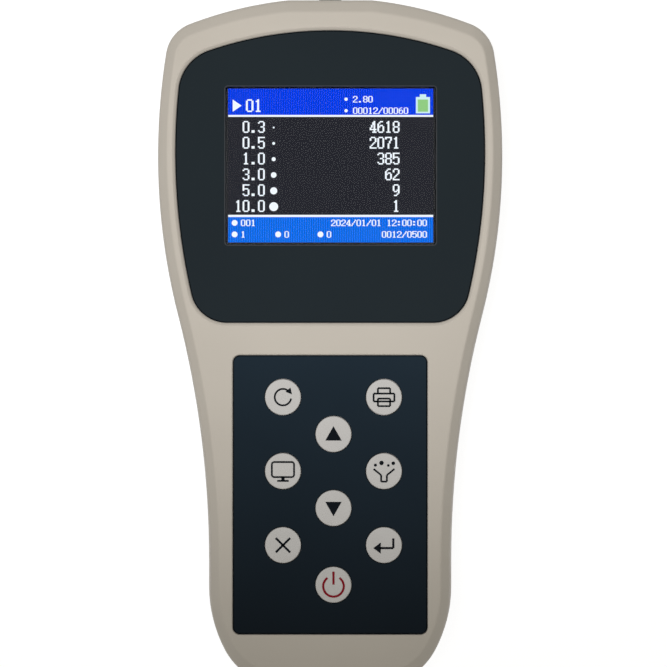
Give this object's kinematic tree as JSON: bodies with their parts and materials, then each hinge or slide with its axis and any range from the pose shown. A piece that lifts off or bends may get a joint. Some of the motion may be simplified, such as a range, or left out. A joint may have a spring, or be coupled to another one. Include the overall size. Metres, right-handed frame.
{
  "type": "airborne particle counter",
  "caption": "Handheld airborne particle counter: waisted pale housing, dark display and keypad panels, colour screen, round keys and a top air inlet.",
  "frame": {"origin": "middle of the footprint, inlet included, on the plane that the flat back rests on", "axes": "+X to the right of the face, +Y along the length towards the air inlet, +Z out of the face"},
  "size_m": [0.12, 0.252, 0.0603],
  "materials": {
    "shell": "fine spark-eroded satin",
    "display_film": "satin printed film",
    "keypad_film": "satin printed film",
    "window": "clear, polished",
    "foam": "closed-cell foam",
    "screen": "polished panel",
    "black_plastic": "moulded",
    "ribbon": "polyimide film",
    "key": "satin",
    "board": "solder resist",
    "connector": "moulded nylon",
    "steel": "plain",
    "inlet": "dark anodised",
    "rubber": "moulded",
    "anodised": "black anodised",
    "brass": "turned",
    "mirror": "polished",
    "tube": "silicone",
    "pump_plastic": "moulded",
    "filter": "moulded",
    "battery_wrap": "shrink wrap",
    "lead": "insulation"
  },
  "bodies": {
    "housing": {"front_shell": "shell", "rear_shell": "shell", "display_overlay": "display_film", "display_window": "window", "display_gasket": "foam", "lcd_panel": "screen", "lcd_tray": "black_plastic", "display_ribbon": "ribbon", "keypad_overlay": "keypad_film", "keypad_board": "board", "key_switches": "black_plastic", "keypad_ribbon": "ribbon", "main_board": "board", "board_chips": "black_plastic", "board_connectors": "connector", "board_screws": "steel", "clock_cell": "steel", "buzzer": "black_plastic", "inlet_nozzle": "inlet", "inlet_seal": "rubber", "sensor_block": "anodised", "inlet_jet": "steel", "outlet_jet": "steel", "laser_module": "brass", "laser_clamp": "anodised", "light_trap": "black_plastic", "collecting_mirror": "mirror", "detector_board": "board", "detector_shield": "steel", "sensor_screws": "steel", "suction_tubes": "tube", "flow_sensor": "pump_plastic", "pump_head": "pump_plastic", "pump_motor": "steel", "pump_cradle": "rubber", "filter_tube": "tube", "exhaust_filter": "filter", "exhaust_tube": "tube", "exhaust_port": "inlet", "battery_pack": "battery_wrap", "battery_pad": "foam", "battery_cover": "shell", "battery_screws": "steel", "power_leads": "lead", "port_board": "board", "usb_socket": "steel", "power_socket": "black_plastic", "housing_screws": "steel", "tripod_insert": "brass"},
    "reset_key": {"key_reset": "key"},
    "print_key": {"key_print": "key"},
    "up_key": {"key_up": "key"},
    "display_key": {"key_display": "key"},
    "sample_key": {"key_sample": "key"},
    "down_key": {"key_down": "key"},
    "escape_key": {"key_escape": "key"},
    "enter_key": {"key_enter": "key"},
    "power_key": {"key_power": "key"}
  },
  "joints": [
    {"name": "reset_press", "type": "slide", "parent": "housing", "child": "reset_key", "axis": [0, 0, -1], "range_m": [0, 0.0005], "stiffness_N_per_m": 1500},
    {"name": "print_press", "type": "slide", "parent": "housing", "child": "print_key", "axis": [0, 0, -1], "range_m": [0, 0.0005], "stiffness_N_per_m": 1500},
    {"name": "up_press", "type": "slide", "parent": "housing", "child": "up_key", "axis": [0, 0, -1], "range_m": [0, 0.0005], "stiffness_N_per_m": 1500},
    {"name": "display_press", "type": "slide", "parent": "housing", "child": "display_key", "axis": [0, 0, -1], "range_m": [0, 0.0005], "stiffness_N_per_m": 1500},
    {"name": "sample_press", "type": "slide", "parent": "housing", "child": "sample_key", "axis": [0, 0, -1], "range_m": [0, 0.0005], "stiffness_N_per_m": 1500},
    {"name": "down_press", "type": "slide", "parent": "housing", "child": "down_key", "axis": [0, 0, -1], "range_m": [0, 0.0005], "stiffness_N_per_m": 1500},
    {"name": "escape_press", "type": "slide", "parent": "housing", "child": "escape_key", "axis": [0, 0, -1], "range_m": [0, 0.0005], "stiffness_N_per_m": 1500},
    {"name": "enter_press", "type": "slide", "parent": "housing", "child": "enter_key", "axis": [0, 0, -1], "range_m": [0, 0.0005], "stiffness_N_per_m": 1500},
    {"name": "power_press", "type": "slide", "parent": "housing", "child": "power_key", "axis": [0, 0, -1], "range_m": [0, 0.0005], "stiffness_N_per_m": 1500}
  ]
}
